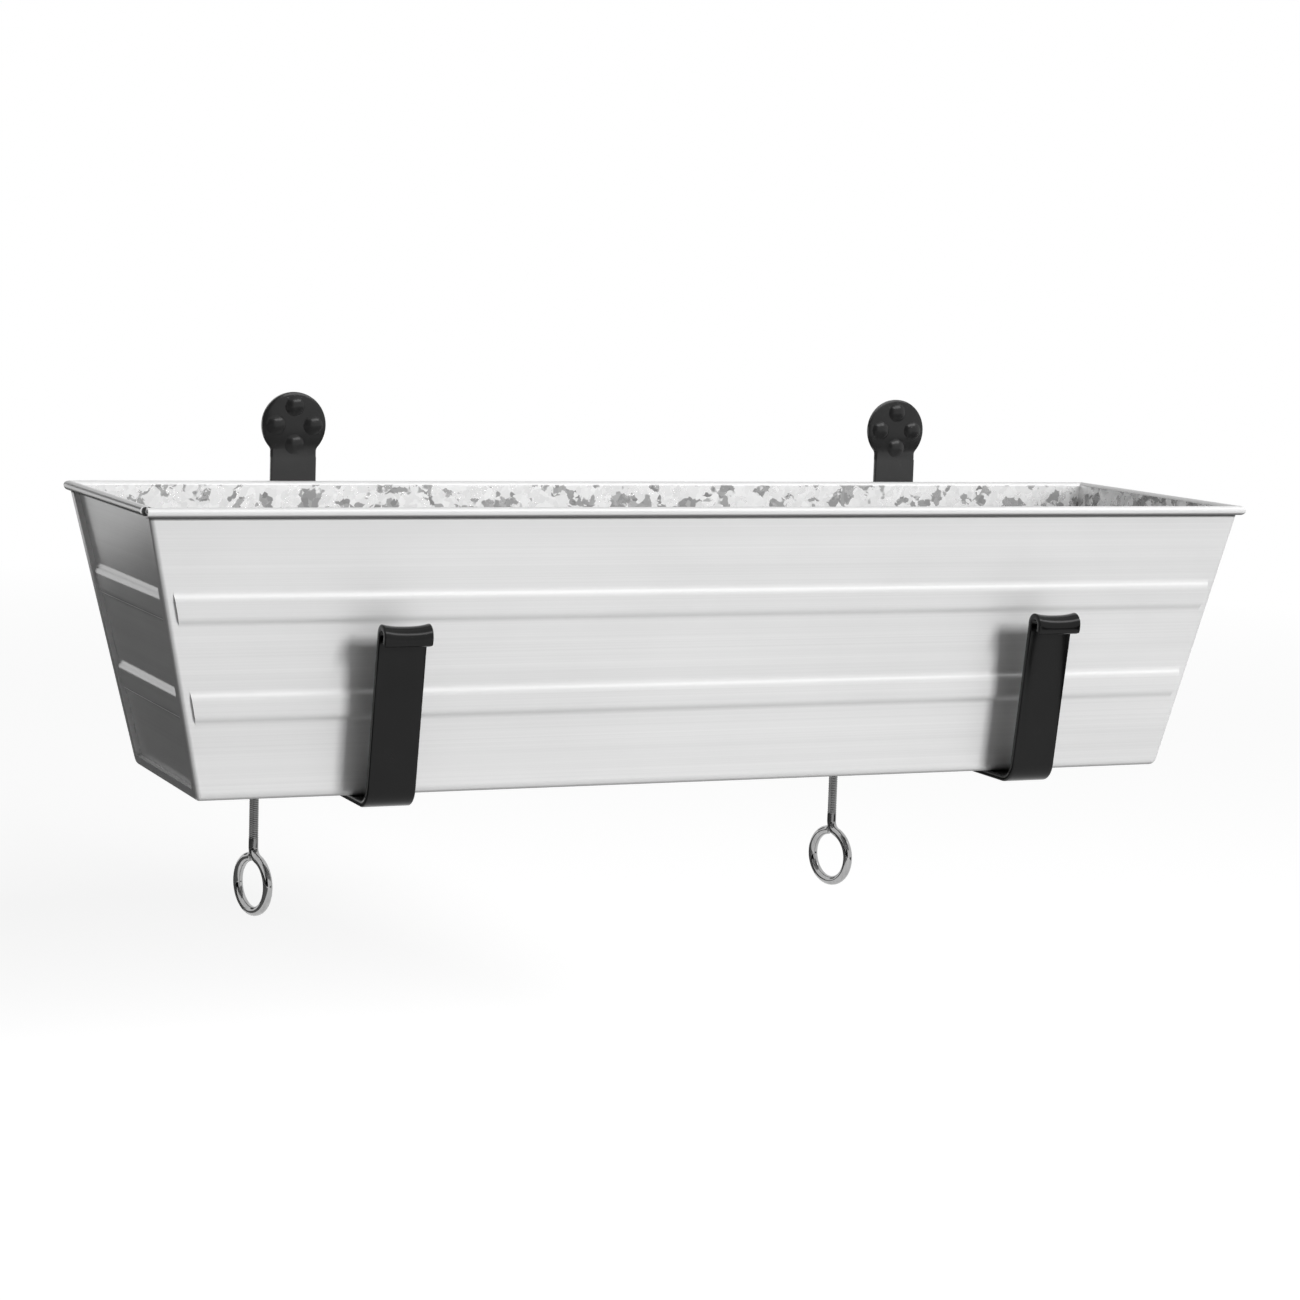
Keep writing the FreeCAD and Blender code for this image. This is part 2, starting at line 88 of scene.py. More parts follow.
STRAP_WIDTH = 30.0 * MM
STRAP = 4.0 * MM
STRAP_BEND = 12.0 * MM        # middle radius of the two bottom bends
STRAP_EDGE = 0.8 * MM         # rounding of the bar's four edges
SHELF_TO_LEG = 22.5 * MM      # clear space between the front wall's foot and the leg
WALL_FOOT = 73.1 * MM         # from the box's middle plane to the front wall's foot
HEAD_RADIUS = 21.2 * MM
HEAD_BEVEL = 2.2 * MM
HEAD_BEVEL_DEPTH = 1.1 * MM
NECK_RADIUS = 4.0 * MM
DOME_COUNT = 4
DOME_RADIUS = 6.6 * MM
DOME_PROUD = 2.4 * MM
DOME_SUNK = 0.2 * MM
DOME_CIRCLE = 12.3 * MM
LEG_LEAN = 9.0
LEG_HEIGHT = 107.5 * MM       # top of the curl above the shelf
CURL = 5.35 * MM              # middle radius of the curl
CURL_SWEEP = 199.0            # up to its rounded end
CURL_EARS = 1.7 * MM          # how far the curl's two edges flare at its top
CURL_FLARED = 170.0           # the part of the curl's sweep that flares
EAR_POWER = 2.6               # how sharply the flare rises towards the edges
BEND_STEP = 5.0               # degrees between rings in the bar's bends

YOKE_HALF = 12.0 * MM         # half width of the clamp's spine
WELD_RADIUS = 2.6 * MM
WELD_LENGTH = 25.0 * MM
WELD_RIPPLES = 13
WELD_CENTRES = (-30.0 * MM, -120.0 * MM)

SCREW_RADIUS = 3.25 * MM
SCREW_REACH = 66.8 * MM
THREAD_PITCH = 1.27 * MM
THREAD_DEPTH = 0.22 * MM
EYE_MIDDLE = 18.65 * MM       # radius of the eye's middle line
EYE_NECK = 8.0 * MM
EYE_GAP = 0.6 * MM
EYE_TURN = -74.0
EYE_STEP = 7.5                # degrees between rings round the eye
EYE_END = ((-1.0, 1.0), (-0.7, 0.97), (-0.34, 0.88), (-0.04, 0.74))  # mm past the end, share of radius
PLAIN_SHANK = 5.0 * MM        # between the thread and the eye's neck
STUD_RADIUS = 2.25 * MM
STUD_LENGTH = 3.5 * MM
STUD_BEVEL = 0.3 * MM
SCREW_LOW, SCREW_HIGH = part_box("left_eye_screw")


# ---------------------------------------------------------------- node helpers

class Shader:
    """A material's node tree, with short ways to add and join nodes."""

    def __init__(self, name):
        self.material = bpy.data.materials.new(name)
        self.material.use_nodes = True
        self.tree = self.material.node_tree
        self.tree.nodes.clear()
        self.output = self.tree.nodes.new("ShaderNodeOutputMaterial")
        self.coords = self.tree.nodes.new("ShaderNodeTexCoord")

    def put(self, socket, value):
        if isinstance(value, bpy.types.NodeSocket):
            self.tree.links.new(value, socket)
        else:
            socket.default_value = value

    def node(self, kind, **inputs):
        made = self.tree.nodes.new(kind)
        for key, value in inputs.items():
            self.put(made.inputs[key.replace("_", " ")], value)
        return made

    def stretched(self, scale):
        """Object coordinates, scaled."""
        mapping = self.node("ShaderNodeMapping", Scale=scale)
        self.put(mapping.inputs["Vector"], self.coords.outputs["Object"])
        return mapping.outputs["Vector"]

    def noise(self, vector, scale, detail=3.0, roughness=0.5):
        made = self.node("ShaderNodeTexNoise", Vector=vector, Scale=scale, Detail=detail,
                         Roughness=roughness)
        return made.outputs["Fac"]

    def math(self, operation, a, b=0.0):
        made = self.tree.nodes.new("ShaderNodeMath")
        made.operation = operation
        for socket, value in zip(made.inputs, (a, b)):
            self.put(socket, value)
        return made.outputs[0]

    def span(self, value, low, high, out_low=0.0, out_high=1.0):
        """Maps low..high to out_low..out_high, clamped."""
        made = self.node("ShaderNodeMapRange", Value=value)
        keys = ("From Min", "From Max", "To Min", "To Max")
        for key, number in zip(keys, (low, high, out_low, out_high)):
            self.put(made.inputs[key], number)
        return made.outputs["Result"]

    def spread(self, noise, low, high):
        """Spreads a noise, which mostly stays within 0.3..0.7, from low to high."""
        return self.span(noise, 0.3, 0.7, low, high)

    def blend(self, share, a, b):
        """Number between a, at share 0, and b, at share 1."""
        made = self.tree.nodes.new("ShaderNodeMix")
        for socket, value in zip(made.inputs[:1] + made.inputs[2:4], (share, a, b)):
            self.put(socket, value)
        return made.outputs[0]

    def grey(self, value):
        made = self.tree.nodes.new("ShaderNodeCombineColor")
        for socket in made.inputs:
            self.put(socket, value)
        return made.outputs["Color"]

    def axis(self, name, output="Object"):
        made = self.node("ShaderNodeSeparateXYZ")
        self.put(made.inputs[0], self.coords.outputs[output])
        return made.outputs[name]

    def bump(self, height, strength, distance):
        made = self.node("ShaderNodeBump", Height=height, Strength=strength, Distance=distance)
        return made.outputs["Normal"]

    def finish(self, colour, roughness, normal=None, metallic=0.0, **constants):
        surface = self.tree.nodes.new("ShaderNodeBsdfPrincipled")
        self.put(surface.inputs["Base Color"], colour)
        self.put(surface.inputs["Roughness"], roughness)
        self.put(surface.inputs["Metallic"], metallic)
        if normal is not None:
            self.put(surface.inputs["Normal"], normal)
        for key, value in constants.items():
            surface.inputs[key.replace("_", " ")].default_value = value
        self.tree.links.new(surface.outputs[0], self.output.inputs["Surface"])
        return self.material


# ---------------------------------------------------------------- materials

def spangle(s):
    """Zinc crystals: pale flakes with darker ones in loose groups. Gives tone and roughness."""
    warp = s.noise(s.stretched((110.0, 110.0, 110.0)), 1.0, 3.0, 0.6)
    mapping = s.node("ShaderNodeMapping")
    s.put(mapping.inputs["Vector"], s.coords.outputs["Object"])
    s.put(mapping.inputs["Location"], s.grey(s.math("MULTIPLY", warp, 0.014)))
    flakes = s.node("ShaderNodeTexVoronoi", Vector=mapping.outputs["Vector"], Scale=230.0)
    draws = s.node("ShaderNodeSeparateColor")
    s.put(draws.inputs[0], flakes.outputs["Color"])
    first, second, third = draws.outputs
    groups = s.noise(s.stretched((55.0, 55.0, 60.0)), 1.0, 2.0, 0.55)
    chance = s.math("ADD", s.span(groups, 0.40, 0.62, 0.0, 0.85), s.math("MULTIPLY", first, 0.45))
    darkened = s.math("MULTIPLY", s.span(chance, 0.78, 0.86), s.span(third, 0.0, 1.0, 0.36, 0.50))
    tone = s.math("SUBTRACT", s.span(second, 0.0, 1.0, 0.72, 0.84), darkened)
    return tone, s.span(third, 0.0, 1.0, 0.24, 0.38)


def outward(s, axis, middle):
    """How far a face looks out of the box along an axis: 1 straight out, -1 straight in."""
    side = s.math("SIGN", s.math("SUBTRACT", s.axis(axis), middle))
    return s.math("MULTIPLY", side, s.axis(axis, "Normal"))


def inside_of_box(s, end_facing, side_facing):
    """1 on the box's inner faces below the rolled rim, 0 on the seams, the rim and all outer faces."""
    climb = s.math("MULTIPLY", s.math("SUBTRACT", s.axis("Z"), BODY_LOW.z), END_SLOPE)
    from_middle = s.math("SUBTRACT", s.math("ABSOLUTE", s.axis("X")), climb)
    between_ends = s.span(from_middle, END_INNER, END_INNER + 0.4 * MM, 1.0, 0.0)
    long_wall = s.math("MULTIPLY", s.span(side_facing, -0.3, -0.5), between_ends)
    low = s.span(s.axis("Z"), BODY_LOW.z + 4.0 * MM, BODY_LOW.z + 6.0 * MM, 1.0, 0.0)
    bottom = s.math("MULTIPLY", s.span(s.axis("Z", "Normal"), 0.3, 0.5), low)
    bottom = s.math("MULTIPLY", bottom, between_ends)
    walls = s.math("MAXIMUM", s.math("MAXIMUM", s.span(end_facing, -0.3, -0.5), long_wall), bottom)
    below_rim = s.span(s.axis("Z"), RIM_TOP - 2.6 * MM, RIM_TOP - 1.8 * MM, 1.0, 0.0)
    return s.math("MULTIPLY", walls, below_rim)


def painted_crevice_shade(s, end_facing, side_facing):
    """1 in the crevice under the rolled rim, on the outer faces only: where painted shade darkens the
    sheet.
    """
    fold = RIM_TOP - RIM_ROLL
    near = s.math("MULTIPLY", s.span(s.axis("Z"), fold - 1.9 * MM, fold - 0.5 * MM),
                  s.span(s.axis("Z"), fold + 0.9 * MM, fold + 2.0 * MM, 1.0, 0.0))
    return s.math("MULTIPLY", near, s.span(s.math("MINIMUM", end_facing, side_facing), -0.4, -0.2))


def painted_foot_shade(s, side_facing):
    """1 along the lower edge of the front and back walls, where painted shade darkens the downward-facing
    bend.
    """
    low = s.span(s.axis("Z"), BODY_LOW.z + 0.6 * MM, BODY_LOW.z + 2.2 * MM, 1.0, 0.0)
    return s.math("MULTIPLY", low, s.span(side_facing, 0.0, 0.4))


def galvanized_sheet():
    """Satin sheet: level brush lines outside, zinc spangle inside, and painted shade under the rim and at
    the foot.
    """
    s = Shader("galvanized_sheet")
    end_facing = outward(s, "X", 0.0)
    side_facing = outward(s, "Y", BOX_CENTRE.y)
    inside = inside_of_box(s, end_facing, side_facing)
    lines = s.noise(s.stretched((1.5, 1.5, 900.0)), 1.0, 3.0, 0.6)
    bands = s.noise(s.stretched((1.2, 1.2, 60.0)), 1.0, 2.0, 0.5)
    clouds = s.noise(s.stretched((7.0, 7.0, 11.0)), 1.0, 3.0, 0.6)
    outer = s.spread(lines, 0.655, 0.700)
    outer = s.math("ADD", outer, s.spread(bands, -0.02, 0.02))
    outer = s.math("ADD", outer, s.spread(clouds, -0.02, 0.02))
    inner, rough_in = spangle(s)
    tone = s.blend(inside, outer, inner)
    crevice_shade = painted_crevice_shade(s, end_facing, side_facing)
    # painted shade: the crevice under the rolled rim is darkened to a fifth of the sheet's tone
    tone = s.math("MULTIPLY", tone, s.span(crevice_shade, 0.0, 1.0, 1.0, 0.20))
    # painted shade: the lower edge of the front and back walls is darkened to 0.55 of the sheet's tone
    tone = s.math("MULTIPLY", tone, s.span(painted_foot_shade(s, side_facing), 0.0, 1.0, 1.0, 0.55))

    end_face = s.span(s.math("ABSOLUTE", s.axis("X", "Normal")), 0.6, 0.8)
    rough_out = s.blend(end_face, s.spread(clouds, 0.48, 0.54), s.spread(clouds, 0.17, 0.23))
    roughness = s.blend(inside, rough_out, rough_in)
    metallic = s.span(inside, 0.0, 1.0, 0.30, 0.85)
    fine = s.math("ADD", s.math("MULTIPLY", lines, 0.6), s.math("MULTIPLY", bands, 0.8))
    return s.finish(s.grey(tone), roughness, s.bump(fine, 0.10, 0.0004), metallic)


def black_coat():
    """Black satin powder coat on flat bar, with a slight orange peel, and a painted sheen: a paler tone
    painted above the rim, most on the necks, less on the heads.
    """
    s = Shader("black_powder_coat")
    peel = s.noise(s.stretched((1, 1, 1)), 700.0, 2.0, 0.5)
    wear = s.noise(s.stretched((1, 1, 1)), 45.0, 4.0, 0.6)
    # painted sheen: a paler tone painted above the rim, 0.034 on the necks fading to 0.013 on the heads
    sheen_above_rim = s.span(s.axis("Z"), RIM_TOP - 8.0 * MM, RIM_TOP)
    painted_head_sheen = s.span(s.axis("Z"), RIM_TOP + 14.0 * MM, RIM_TOP + 24.0 * MM, 0.034, 0.013)
    tone = s.math("ADD", s.spread(wear, 0.001, 0.003), s.math("MULTIPLY", sheen_above_rim, painted_head_sheen))
    return s.finish(s.grey(tone), s.spread(wear, 0.20, 0.28), s.bump(peel, 0.15, 0.0004),
                    Specular_IOR_Level=0.09, Coat_Weight=0.3, Coat_Roughness=0.14)


def zinc_plate():
    """Bright zinc plate with faint drawn lines, darker on the threaded shank and the shoe."""
    s = Shader("bright_zinc")
    lines = s.noise(s.stretched((500.0, 500.0, 60.0)), 1.0, 2.0, 0.5)
    clouds = s.noise(s.stretched((1, 1, 1)), 120.0, 3.0, 0.6)
    tone = s.math("ADD", s.spread(lines, 0.32, 0.40), s.span(clouds, 0.35, 0.7, 0.0, 0.06))
    eye_top = SCREW_LOW.z + 2 * (EYE_MIDDLE + SCREW_RADIUS)
    tone = s.math("MULTIPLY", tone, s.span(s.axis("Z"), eye_top, eye_top + 4.0 * MM, 1.0, 0.5))
    return s.finish(s.grey(tone), s.spread(clouds, 0.06, 0.15), s.bump(lines, 0.08, 0.0002), 1.0)


def drawn_wire():
    s = Shader("drawn_wire")
    lines = s.noise(s.stretched((300.0, 300.0, 300.0)), 1.0, 3.0, 0.6)
    return s.finish(s.grey(s.spread(lines, 0.14, 0.26)), s.spread(lines, 0.35, 0.55), metallic=1.0)


FINISHES = {"galvanized": galvanized_sheet(), "black_coat": black_coat(),
            "zinc": zinc_plate(), "wire": drawn_wire()}
SLOT_OF = {part["node"]: part["material_slot"] for part in frame["record"]["subparts"]}


def paint(piece, slot):
    piece.data.materials.clear()
    piece.data.materials.append(FINISHES[slot])


def soften(piece, width):
    """Rounds the sharp edges of a plain solid."""
    weld = piece.modifiers.new("weld", "WELD")
    weld.merge_threshold = 0.005 * MM
    bevel = piece.modifiers.new("bevel", "BEVEL")
    bevel.width = width
    bevel.segments = 2
    bevel.limit_method = "ANGLE"
    bevel.angle_limit = math.radians(40)
    bevel.harden_normals = True


for node_name, node in NODES.items():
    paint(node, SLOT_OF[node_name])
for side in SIDE_X:
    soften(NODES[side + "_clamp_yoke"], 0.6 * MM)
    soften(NODES[side + "_jaw_nut"], 0.3 * MM)
    soften(NODES[side + "_swivel_shoe"], 0.6 * MM)


# ---------------------------------------------------------------- mesh helpers

def trace(start, heading, moves, step):
    """Stations (u, v, heading) along straight runs and arcs in a plane. Left turns are positive."""
    u, v = start
    angle = math.radians(heading)
    stations = [(u, v, angle)]
    for kind, size, *sweep in moves:
        if kind == "line":
            u += size * math.cos(angle)
            v += size * math.sin(angle)
            stations.append((u, v, angle))
            continue
        turn = math.radians(sweep[0])
        count = math.ceil(abs(turn) / math.radians(step))
        side = math.copysign(size, turn)
        for _ in range(count):
            u -= side * math.sin(angle)
            v += side * math.cos(angle)
            angle += turn / count
            u += side * math.sin(angle)
            v -= side * math.cos(angle)
            stations.append((u, v, angle))
    return stations


def skin(form, rings, close_start=True, close_end=True):
    """Faces between rings of points, each closed on itself."""
    made = [[form.verts.new(p) for p in ring] for ring in rings]
    for one, other in zip(made, made[1:]):
        for i in range(len(one)):
            j = (i + 1) % len(one)
            form.faces.new((one[i], one[j], other[j], other[i]))
    if close_start:
        form.faces.new(list(reversed(made[0])))
    if close_end:
        form.faces.new(made[-1])


def circle(radius, count):
    return [(radius * math.cos(2 * math.pi * i / count), radius * math.sin(2 * math.pi * i / count))
            for i in range(count)]


def finish_piece(name, form, slot, body, replaced, sharp=35.0):
    bmesh.ops.recalc_face_normals(form, faces=form.faces)
    mesh = bpy.data.meshes.new(name)
    form.to_mesh(mesh)
    form.free()
    mesh.shade_smooth()
    mesh.set_sharp_from_angle(angle=math.radians(sharp))
    piece = bpy.data.objects.new(name, mesh)
    bpy.context.scene.collection.objects.link(piece)
    paint(piece, slot)
    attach(piece, body)
    if replaced is not None:
        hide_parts(replaced)
    return piece


# ---------------------------------------------------------------- cradle straps

def bar_section(width, thickness, edge):
    """Flat bar's section: rounded edges, and points across its faces for the curl to bend."""
    across = 14
    half = width / 2 - edge
    rise = thickness / 2 - edge
    flat = [half - 2 * half * i / across for i in range(across + 1)]
    points = []
    for side in (1, -1):
        for x in flat if side > 0 else reversed(flat):
            points.append((x, side * thickness / 2))
        for corner in (side, -side):
            for i in (1, 2, 3):
                angle = math.radians(22.5 * i)
                out, up = math.sin(angle), math.cos(angle)
                if corner != side:
                    out, up = up, out
                points.append((-side * (half + edge * out), corner * (rise + edge * up)))
    return points


def curl_flare(turned):
    """Share of the full flare where the curl has turned by an angle: most at its top."""
    share = turned / math.radians(CURL_FLARED)
    return math.sin(math.pi * share) if 0.0 < share < 1.0 else 0.0


def across_bar(section, x_middle, y, z, angle):
    """A section's points set square to the bar, at a station of its path."""
    return [(x_middle + x, y - up * math.sin(angle), z + up * math.cos(angle)) for x, up in section]


def strap_bar(form, x_middle, head_low):
    rear = STRAP_BACK - STRAP / 2
    shelf = SHELF_UNDER + STRAP / 2
    lean = math.radians(LEG_LEAN)
    inner = BOX_CENTRE.y - WALL_FOOT - SHELF_TO_LEG
    corner = inner - STRAP / 2 / math.cos(lean) + STRAP / 2 * math.tan(lean)
    tangent = STRAP_BEND * math.tan((math.pi / 2 - lean) / 2)
    leg_top = shelf + STRAP / 2 + LEG_HEIGHT - CURL - STRAP / 2 + CURL * math.sin(lean)
    moves = [("line", head_low - shelf - STRAP_BEND),
             ("arc", STRAP_BEND, -90),
             ("line", rear - STRAP_BEND - corner - tangent),
             ("arc", STRAP_BEND, LEG_LEAN - 90),
             ("line", (leg_top - shelf) / math.cos(lean) - tangent),
             ("arc", CURL, CURL_SWEEP)]
    stations = trace((rear, head_low), -90, moves, BEND_STEP)
    first_of_curl = len(stations) - math.ceil(CURL_SWEEP / BEND_STEP)
    curl_start = math.radians(LEG_LEAN + 90 - 360)
    section = bar_section(STRAP_WIDTH, STRAP, STRAP_EDGE)
    rings = []
    for i, (y, z, angle) in enumerate(stations):
        flare = CURL_EARS * curl_flare(angle - curl_start) if i >= first_of_curl else 0.0
        flared = [(x, up - flare * abs(2 * x / STRAP_WIDTH) ** EAR_POWER) for x, up in section]
        rings.append(across_bar(flared, x_middle, y, z, angle))
    y, z, angle = stations[-1]
    for inset in (0.4 * STRAP_EDGE, STRAP_EDGE):
        y += inset * math.cos(angle)
        z += inset * math.sin(angle)
        smaller = [(x * (1 - 2 * inset / STRAP_WIDTH), up * (1 - 2 * inset / STRAP)) for x, up in section]
        rings.append(across_bar(smaller, x_middle, y, z, angle))
    skin(form, rings, close_start=False)


HEAD_DROP = math.sqrt((HEAD_RADIUS + NECK_RADIUS) ** 2 - (STRAP_WIDTH / 2 + NECK_RADIUS) ** 2)
HEAD_LOW = HEAD_TOP - HEAD_RADIUS - HEAD_DROP - NECK_RADIUS


def head_outline(x_middle, centre_z, y, inset):
    """Outline of the round head and its neck down to the bar, moved in by an inset."""
    half = STRAP_WIDTH / 2
    toe = math.atan2(HEAD_DROP, half + NECK_RADIUS)
    edge = min(inset, STRAP_EDGE)
    neck_steps, head_steps = 8, 72
    right = [(half - edge, HEAD_LOW - centre_z)]
    for i in range(neck_steps + 1):
        share = i / neck_steps
        radius = NECK_RADIUS + edge + (inset - edge) * share
        right.append((half + NECK_RADIUS - radius * math.cos(toe * share),
                      -HEAD_DROP + radius * math.sin(toe * share)))
    top = []
    for i in range(1, head_steps):
        angle = -toe + (math.pi + 2 * toe) * i / head_steps
        top.append(((HEAD_RADIUS - inset) * math.cos(angle), (HEAD_RADIUS - inset) * math.sin(angle)))
    left = [(-x, z) for x, z in reversed(right)]
    return [(x_middle + x, y, centre_z + z) for x, z in right + top + left]


def dome(form, x, z, front):
    """Low dome on the head's face, with its foot sunk a little into it."""
    steps = 40
    rings = [[(x + u, front + DOME_SUNK, z + v) for u, v in circle(DOME_RADIUS, steps)]]
    for share in (0.96, 0.88, 0.76, 0.62, 0.46, 0.3, 0.14):
        top = front - DOME_PROUD * (1 - share ** 2)
        rings.append([(x + u, top, z + v) for u, v in circle(DOME_RADIUS * share, steps)])
    skin(form, rings, close_start=False)


def strap_head(form, x_middle):
    centre_z = HEAD_TOP - HEAD_RADIUS
    front = STRAP_BACK - STRAP
    levels = [(front, HEAD_BEVEL), (front + HEAD_BEVEL_DEPTH, 0.0),
              (STRAP_BACK - 0.6 * STRAP_EDGE, 0.0), (STRAP_BACK, 0.6 * STRAP_EDGE)]
    skin(form, [head_outline(x_middle, centre_z, y, inset) for y, inset in levels])
    for i in range(DOME_COUNT):
        angle = 2 * math.pi * i / DOME_COUNT
        x = x_middle + DOME_CIRCLE * math.cos(angle)
        dome(form, x, centre_z + DOME_CIRCLE * math.sin(angle), front)


def cradle_strap(side):
    form = bmesh.new()
    strap_head(form, SIDE_X[side])
    strap_bar(form, SIDE_X[side], HEAD_LOW)
    finish_piece(side + "_strap", form, "black_coat", side + "_bracket", side + "_cradle_strap", 40.0)


# ---------------------------------------------------------------- welds

def weld_beads(side):
    """Four fillet welds with the ripples of their passes."""
    form = bmesh.new()
    steps, arc = 60, 8
    for edge in (-1, 1):
        for middle in WELD_CENTRES:
            rings = []
            for i in range(steps + 1):
                share = i / steps
                end = min(1.0, 6 * min(share, 1 - share)) ** 0.5
                ripple = 0.5 + 0.5 * math.cos(2 * math.pi * share * WELD_RIPPLES)
                radius = WELD_RADIUS * max(0.12, end) * (0.86 + 0.14 * ripple)
                z = middle + WELD_LENGTH * (share - 0.5)
                ring = [(SIDE_X[side] + edge * YOKE_HALF, STRAP_BACK, z)]
                for j in range(arc + 1):
                    angle = math.pi / 2 * j / arc
                    bulge = z - 0.5 * MM * math.sin(2 * angle)
                    ring.append((SIDE_X[side] + edge * (YOKE_HALF + radius * math.cos(angle)),
                                 STRAP_BACK + radius * math.sin(angle), bulge))
                rings.append(ring)
            skin(form, rings)
    finish_piece(side + "_welds", form, "black_coat", side + "_bracket", side + "_yoke_welds")


# ---------------------------------------------------------------- eye screws

def thread(form, centre, low, high):
    """Right-hand thread round a vertical axis, running out into the shank at its lower end."""
    around, rows = 24, 6
    profile = (1.0, 1.0, 0.5, 0.0, 0.0, 0.5)
    count = rows * math.ceil((high - low) / THREAD_PITCH + 2)
    start = low - THREAD_PITCH
    columns = []
    for j in range(around + 1):
        column = []
        for i in range(count):
            z = start + THREAD_PITCH * (i / rows + j / around)
            z = min(max(z, low), high)
            out = min(1.0, (z - low) / (2 * THREAD_PITCH))
            depth = THREAD_DEPTH * (1 - profile[i % rows]) * out
            if z >= high:
                depth = THREAD_DEPTH
            angle = 2 * math.pi * j / around
            radius = SCREW_RADIUS - depth
            x = centre.x + radius * math.cos(angle)
            y = centre.y + radius * math.sin(angle)
            column.append(form.verts.new((x, y, z)))
        columns.append(column)
    for one, other in zip(columns, columns[1:]):
        for i in range(count - 1):
            form.faces.new((one[i], other[i], other[i + 1], one[i + 1]))


def eye_path(thread_low):
    """Rod from the thread down and round the eye: places, headings and shares of its radius."""
    turn = math.degrees(math.acos(EYE_NECK / (EYE_NECK + EYE_MIDDLE)))
    close = math.degrees(2 * math.asin((2 * SCREW_RADIUS + EYE_GAP) / (2 * EYE_MIDDLE)))
    moves = [("line", PLAIN_SHANK), ("arc", EYE_NECK, turn), ("arc", EYE_MIDDLE, close - 360)]
    stations = trace((0.0, thread_low), -90, moves, EYE_STEP)
    path = [(u, v, angle, 1.0) for u, v, angle in stations[:-1]]
    u, v, angle = stations[-1]
    for past, share in EYE_END:
        path.append((u + past * MM * math.cos(angle), v + past * MM * math.sin(angle), angle, share))
    return path


def eye_screw(side):
    form = bmesh.new()
    axis = Vector((SIDE_X[side], SCREW_REACH, 0.0))
    shoulder = SCREW_HIGH.z - STUD_LENGTH
    neck_height = math.sqrt(EYE_MIDDLE ** 2 + 2 * EYE_NECK * EYE_MIDDLE)
    thread_low = SCREW_LOW.z + SCREW_RADIUS + EYE_MIDDLE + neck_height + PLAIN_SHANK
    way = math.radians(EYE_TURN)
    along = Vector((math.cos(way), math.sin(way), 0.0))
    across = Vector((-math.sin(way), math.cos(way), 0.0))
    rings = []
    for u, v, angle, share in eye_path(thread_low):
        ring = []
        for out, up in circle(SCREW_RADIUS * share, 24):
            flat = u - up * math.sin(angle)
            height = Vector((0.0, 0.0, v + up * math.cos(angle)))
            ring.append(axis + along * flat + across * out + height)
        rings.append(ring)
    skin(form, rings, close_start=False)
    thread(form, axis, thread_low, shoulder)
    stud = []
    for radius, z in ((SCREW_RADIUS - THREAD_DEPTH, shoulder), (STUD_RADIUS, shoulder),
                      (STUD_RADIUS, SCREW_HIGH.z - STUD_BEVEL), (STUD_RADIUS - STUD_BEVEL, SCREW_HIGH.z)):
        stud.append([(axis.x + x, axis.y + y, z) for x, y in circle(radius, 24)])
    skin(form, stud, close_start=False)
    bmesh.ops.remove_doubles(form, verts=form.verts, dist=0.002 * MM)
    bmesh.ops.dissolve_degenerate(form, edges=form.edges, dist=0.002 * MM)
    finish_piece(side + "_eye_rod", form, "zinc", side + "_screw", side + "_eye_screw", 50.0)


# ---------------------------------------------------------------- rim joint

def rim_joint_end():
    """End of the front wall's rolled rim, open towards the left, at the rim's joint."""
    form = bmesh.new()
    centre_y = BODY_LOW.y + ROLL_RADIUS
    centre_z = RIM_TOP - ROLL_RADIUS
    steps = 40
    angles = [math.radians(ROLL_START + ROLL_SWEEP * i / steps) for i in range(steps + 1)]
    outline = [(ROLL_RADIUS, angle) for angle in angles]
    outline += [(ROLL_RADIUS - SHEET, angle) for angle in reversed(angles)]
    rings = []
    for x in (BODY_LOW.x + JOINT_SETBACK, BODY_LOW.x + JOINT_LENGTH):
        rings.append([(x, centre_y + radius * math.cos(angle), centre_z + radius * math.sin(angle))
                      for radius, angle in outline])
    skin(form, rings)
    finish_piece("rim_joint_end", form, "galvanized", "planter", None, 40.0)


rim_joint_end()
for side in SIDE_X:
    cradle_strap(side)
    weld_beads(side)
    eye_screw(side)


# ---------------------------------------------------------------- floor, world, lights

FLOOR_DROP = 0.16
FLOOR_HALF = 40.0
STAGE_Z = cad_low.z - FLOOR_DROP
NEAR = 1.6                    # the floor is plain this far round the object, in metres
FAR = 4.0                     # and the backdrop's white from here on
AMBIENT = 0.10
CARD_TONE = 0.03


def background_share(tree):
    """1 for rays from the camera, from gloss and through glass, and 0 for the light itself."""
    path = tree.nodes.new("ShaderNodeLightPath")
    share = path.outputs["Is Camera Ray"]
    for key in ("Is Glossy Ray", "Is Transmission Ray"):
        most = tree.nodes.new("ShaderNodeMath")
        most.operation = "MAXIMUM"
        tree.links.new(share, most.inputs[0])
        tree.links.new(path.outputs[key], most.inputs[1])
        share = most.outputs[0]
    return share


